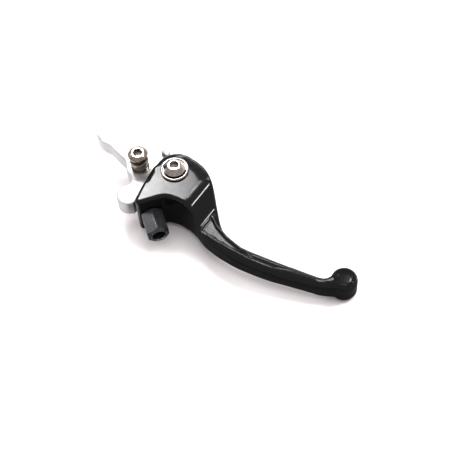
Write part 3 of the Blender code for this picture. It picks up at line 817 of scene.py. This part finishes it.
def lug_mesh():
    """The fold stop: a block on the base whose top slopes down towards the head."""
    far, near, slope = 6.9, 10.5, 0.35
    outline = [(far, 12.4), (near, 12.4), (near, 15.8), (far, 15.8)]
    mesh = outline_mesh("lug", outline, 4.0, 9.4, 0.35, 3)
    for vert in mesh.vertices:
        if vert.co.z > 7.0 * MM:
            vert.co.z -= slope * (vert.co.x - far * MM)
    return mesh


def build_base():
    mesh = outline_mesh("base_knuckle_look", base_outline(), -BASE_HALF, BASE_HALF, 0.55, 3)
    perch_bore = [(0.0, 7.0), (6.65, 7.0), (6.65, -7.0), (0.0, -7.0)]
    fold_bore = [
        (0.0, 7.0), (9.3, 7.0), (9.3, 4.6), (6.1, 4.6), (6.1, -0.4), (9.0, -0.4), (9.0, -7.0), (0.0, -7.0),
    ]  # fmt: skip
    spring_leg = [(0.0, 3.2), (1.1, 3.2), (1.1, -1.0), (0.0, -1.0)]
    pad_seat = [(0.0, -8.0), (3.6, -8.0), (3.6, -14.0), (0.0, -14.0)]
    cuts = [
        ("UNION", lug_mesh(), None),
        ("DIFFERENCE", turned_mesh("fold_bore", fold_bore, rounding=0.0), FOLD_AXIS),
        ("DIFFERENCE", turned_mesh("perch_bore", perch_bore, rounding=0.0), PERCH_AXIS),
        ("DIFFERENCE", turned_mesh("spring_leg", spring_leg, rounding=0.0, steps=32), LEG_PLACE),
        ("DIFFERENCE", turned_mesh("pad_seat", pad_seat, rounding=0.0), ADJUSTER_AXIS),
    ]
    mesh = cut(mesh, "base_knuckle_look", cuts)
    finish_piece("base_knuckle", mesh, "satin_aluminium", "base", sharp=30.0)


# ======== bolts, nuts, rings and bushes ========
def ring_profile(inner, outer, low, high, chamfer=0.0):
    if not chamfer:
        return [(outer, high), (outer, low), (inner, low), (inner, high)]
    return [
        (outer - chamfer, high),
        (outer, high - chamfer),
        (outer, low + chamfer),
        (outer - chamfer, low),
        (inner, low),
        (inner, high),
    ]


def build_bolt(node, slot, body, axis, head_profile, thread_end, socket_depth):
    """A button-head bolt: its head, plain shank, rolled thread and hexagon socket."""
    top = head_profile[0][1]
    thread_top = thread_end + 7.0
    profile = [(0.0, top), *head_profile, (BOLT_R, thread_top)]
    pitch = 0.5
    turns = int((thread_top - thread_end - 0.8) / pitch)
    for i in range(turns):
        z = thread_top - pitch * (i + 0.5)
        profile += [(BOLT_R - 0.25, z), (BOLT_R, z - pitch / 2)]
    profile += [(2.5, thread_end), (0.0, thread_end)]
    mesh = turned_mesh(node, profile, rounding=0.14)
    mouth = [(0.0, top + 1.0), (3.5, top + 1.0), (2.55, top - 0.35), (0.0, top - 0.35)]
    drilled = [(0.0, top), (2.35, top), (2.35, top - socket_depth - 0.1), (0.0, top - socket_depth - 0.9)]
    cuts = [
        ("DIFFERENCE", hex_mesh("socket", HEX_KEY, top - socket_depth, top + 1.0, 15.0), None),
        ("DIFFERENCE", turned_mesh("mouth", mouth, rounding=0.0), None),
        ("DIFFERENCE", turned_mesh("drilled", drilled, rounding=0.0), None),
    ]
    finish_piece(node, cut(mesh, node + "_look", cuts), slot, body, axis)


def build_nut(node, body, axis, flats, low, high, insert_depth):
    """A hexagon lock nut with its corners turned off, and a seat for its nylon ring."""
    corner = flats / math.sqrt(3)
    corners = [
        (0.0, high), (flats / 2 - 0.1, high), (corner + 0.05, high - 0.5), (corner + 0.05, low + 0.5),
        (flats / 2 - 0.1, low), (0.0, low),
    ]  # fmt: skip
    bore = [
        (0.0, high + 1.0), (3.6, high + 1.0), (3.2, high - 0.3), (3.2, low + insert_depth),
        (4.3, low + insert_depth), (4.3, low - 1.0), (0.0, low - 1.0),
    ]  # fmt: skip
    cuts = [
        ("INTERSECT", turned_mesh("corners", corners, rounding=0.15), None),
        ("DIFFERENCE", turned_mesh("bore", bore, rounding=0.0), None),
    ]
    mesh = cut(hex_mesh(node, flats, low - 0.5, high + 0.5), node + "_look", cuts)
    finish_piece(node, mesh, "bright_steel", body, axis)


# node: (slot, body, axis, profile), each a closed ring's section.
RINGS = {
    "perch_dust_ring": (
        "black_rubber", "perch_pivot", PERCH_AXIS,
        [(4.6, 14.9), (5.0, 14.5), (5.0, 14.1), (4.4, 13.75), (4.4, 13.4), (5.0, 13.05), (5.0, 12.6),
         (4.6, 12.2), (3.2, 12.2), (3.2, 14.9)],
    ),
    "perch_sleeve": ("nickel_steel", "perch_pivot", PERCH_AXIS, ring_profile(3.2, 5.3, -11.2, 11.9, 0.4)),
    "perch_washer": ("bright_steel", "perch_pivot", PERCH_AXIS, ring_profile(3.2, 6.2, -12.6, -11.5, 0.2)),
    "perch_nut_insert": ("nylon", "perch_pivot", PERCH_AXIS, ring_profile(3.2, 4.1, -18.5, -17.3)),
    "perch_bush": ("bright_steel", "base", PERCH_AXIS, ring_profile(5.4, 6.5, -5.4, 5.4, 0.3)),
    "fold_bush": ("bearing_bronze", "base", FOLD_AXIS, ring_profile(4.85, 6.0, -4.3, 4.3, 0.3)),
    "thrust_washer_upper": ("bearing_bronze", "base", FOLD_AXIS, ring_profile(4.9, 9.0, 4.85, 5.6)),
    "thrust_washer_lower": ("bearing_bronze", "base", FOLD_AXIS, ring_profile(4.9, 5.9, -5.5, -4.6)),
    "fold_sleeve": ("bright_steel", "blade", FOLD_AXIS, ring_profile(3.2, 4.75, -5.5, 5.5, 0.3)),
    "fold_nut_insert": ("nylon", "blade", FOLD_AXIS, ring_profile(3.2, 4.1, -14.1, -13.4)),
    "fold_bolt_washer": (
        "bright_steel", "blade", FOLD_AXIS,
        [(6.75, 15.2), (6.85, 15.75), (7.05, 16.0), (7.4, 16.0), (8.0, 15.45), (8.0, 14.9), (7.9, 14.8),
         (3.3, 14.8), (3.3, 15.2)],
    ),
    "adjuster_o_ring": (
        "black_rubber", "adjuster_barrel", ADJUSTER_AXIS, arc((4.38, -1.8), 0.42, 90.0, -270.0, 20)[:-1],
    ),
}  # fmt: skip


def build_rings():
    for node, (slot, body, axis, profile) in RINGS.items():
        finish_piece(node, turned_mesh(node + "_look", profile, closed=True, rounding=0.1), slot, body, axis)


def build_hardware():
    perch_head = [
        (3.6, 18.4), (4.2, 18.1), (5.65, 16.95), (5.7, 16.7), (5.7, 15.7), (5.3, 15.2), (BOLT_R, 15.2),
    ]  # fmt: skip
    build_bolt("perch_bolt", "nickel_steel", "perch_pivot", PERCH_AXIS, perch_head, -19.6, 3.0)
    fold_head = [(3.5, 19.9), (4.0, 19.6), (6.1, 17.0), (6.2, 16.7), (6.2, 16.2), (BOLT_R, 16.2)]
    build_bolt("fold_bolt", "bright_steel", "blade", FOLD_AXIS, fold_head, -14.2, 3.0)
    build_nut("perch_lock_nut", "perch_pivot", PERCH_AXIS, 10.0, -18.6, -12.9, 1.6)
    build_nut("fold_lock_nut", "blade", FOLD_AXIS, 10.0, -14.2, -10.5, 1.1)
    pad = [(0.0, -10.5), (3.0, -10.5), (3.45, -10.95), (3.45, -13.7), (0.0, -13.7)]
    finish_piece("stop_pad", turned_mesh("stop_pad_look", pad), "bright_steel", "base", ADJUSTER_AXIS)


def build_spring():
    radius, wire, pitch, top, turns, steps = SPRING_R, 0.75, 1.7, -1.35, 2, 48
    points = [(-radius, 0.0, 2.6), (-radius, 0.0, top + 1.2)]
    for i in range(turns * steps + 1):
        angle = math.pi + 2 * math.pi * i / steps
        points.append((radius * math.cos(angle), radius * math.sin(angle), top - pitch * i / steps))
    low = points[-1][2]
    points += [(-radius, 0.0, low - 1.2), (-radius, 0.0, low - 3.4)]
    curve = bpy.data.curves.new("fold_spring", "CURVE")
    curve.dimensions = "3D"
    curve.bevel_depth = wire * MM
    curve.bevel_resolution = 4
    curve.use_fill_caps = True
    spline = curve.splines.new("POLY")
    spline.points.add(len(points) - 1)
    for point, place in zip(spline.points, points):
        point.co = (*(value * MM for value in place), 1.0)
    mesh = cleaned(evaluated_mesh(temporary("fold_spring_wire", curve), "fold_spring_look"))
    spring = finish_piece("fold_spring", mesh, "bright_steel", None, FOLD_AXIS)
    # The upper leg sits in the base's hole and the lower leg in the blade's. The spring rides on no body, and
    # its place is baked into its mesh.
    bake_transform(spring)


# ======== the reach adjuster ========
def build_adjuster():
    corner = BARREL_FLATS / math.sqrt(3)
    corners = [
        (0.0, BARREL_END), (5.0, BARREL_END), (5.35, BARREL_END - 0.25), (corner + 0.1, BARREL_END - 1.9),
        (corner + 0.1, 1.1), (BARREL_FLATS / 2 - 0.1, 0.3), (0.0, 0.3),
    ]  # fmt: skip
    spigot = [
        (0.0, 1.2), (4.6, 1.2), (4.6, -1.1), (3.9, -1.1), (3.9, -2.5), (4.6, -2.5), (4.6, -3.2),
        (4.0, -3.2), (4.0, -4.2), (4.6, -4.2), (4.6, -4.9), (0.0, -4.9),
    ]  # fmt: skip
    bore = [
        (0.0, BARREL_END + 0.6), (4.9, BARREL_END + 0.6), (3.85, BARREL_END - 0.5), (3.75, BARREL_END - 0.9),
        (3.75, 9.6), (3.2, 9.0), (3.2, -6.0), (0.0, -6.0),
    ]  # fmt: skip
    hexagon = hex_mesh("adjuster_barrel", BARREL_FLATS, -0.5, BARREL_END + 1.0, 30.0)
    edged = bevelled(hexagon, "adjuster_barrel", 0.22)
    cuts = [
        ("INTERSECT", turned_mesh("corners", corners, rounding=0.2), None),
        ("UNION", turned_mesh("spigot", spigot, rounding=0.1), None),
        ("DIFFERENCE", turned_mesh("bore", bore, rounding=0.15), None),
    ]
    mesh = cut(edged, "adjuster_barrel_look", cuts)
    finish_piece("adjuster_barrel", mesh, "blackened_steel", "adjuster_barrel", ADJUSTER_AXIS)

    tip_radius, tip_start, tip_height = 2.4, -9.1, 1.1
    dome = arc((0.0, 0.0), tip_radius, 0.0, -90.0, 12)
    tip = [(x, tip_start + tip_height * y / tip_radius) for x, y in dome]
    plunger = [(0.0, 5.6), (2.4, 5.6), (3.0, 5.0), (3.0, -8.2), *tip[:-1], (0.0, tip_start - tip_height)]
    mesh = turned_mesh("adjuster_plunger_look", plunger, rounding=0.1)
    finish_piece("adjuster_plunger", mesh, "bright_steel", "adjuster_plunger", ADJUSTER_AXIS)

    ring = turned_mesh("snap_ring", ring_profile(4.15, 5.45, -4.05, -3.35), closed=True, rounding=0.08)
    gap = outline_mesh("snap_gap", [(3.0, -0.9), (7.0, -0.9), (7.0, 0.9), (3.0, 0.9)], -6.0, -2.0)
    mesh = cut(ring, "adjuster_snap_ring_look", [("DIFFERENCE", gap, None)])
    finish_piece("adjuster_snap_ring", mesh, "bright_steel", "adjuster_barrel", ADJUSTER_AXIS)


add_camera()
add_floor()
add_studio()
build_blade()
build_base()
build_rings()
build_hardware()
build_spring()
build_adjuster()
